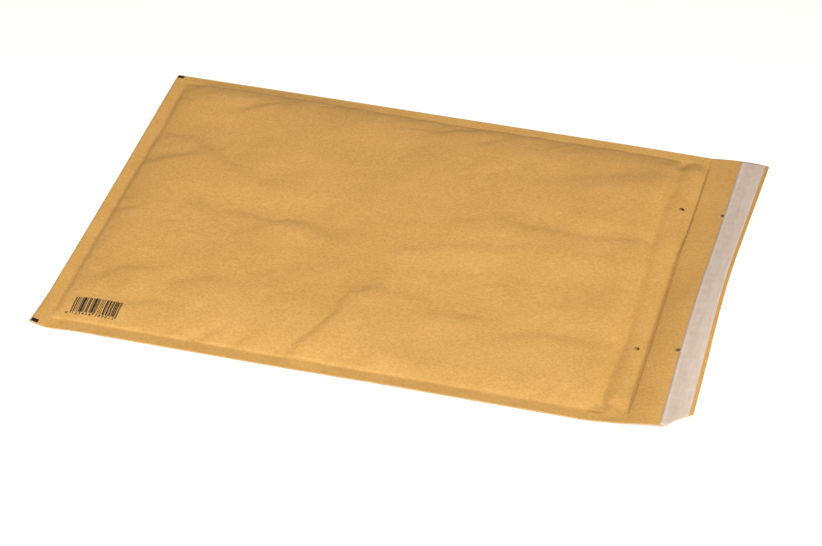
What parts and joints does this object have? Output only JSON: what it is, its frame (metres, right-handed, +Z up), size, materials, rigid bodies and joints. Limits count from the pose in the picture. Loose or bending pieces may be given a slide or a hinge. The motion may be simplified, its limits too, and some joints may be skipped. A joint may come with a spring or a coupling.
{
  "type": "padded envelope",
  "caption": "Kraft paper mailing envelope lined with bubble film, lying flat and open, with a self-seal flap, a release strip and punched holes for paper fasteners.",
  "frame": {"origin": "on the surface that the envelope lies on, under the middle of its bounding box with the flap open", "axes": "+X from the folded end to the mouth and on over the open flap, +Y across the envelope, +Z up"},
  "size_m": [0.5298, 0.37, 0.0168],
  "materials": {
    "kraft": "matte, faintly calendered, uncoated",
    "bubble_film": "clear soft film, satin",
    "hot_melt": "tacky, glossy",
    "release_paper": "satin, silicone coated"
  },
  "bodies": {
    "root": {"kraft_cover": "kraft", "bubble_liner_back": "bubble_film", "bubble_liner_front": "bubble_film", "flap_adhesive": "hot_melt", "release_liner": "release_paper"}
  },
  "joints": []
}
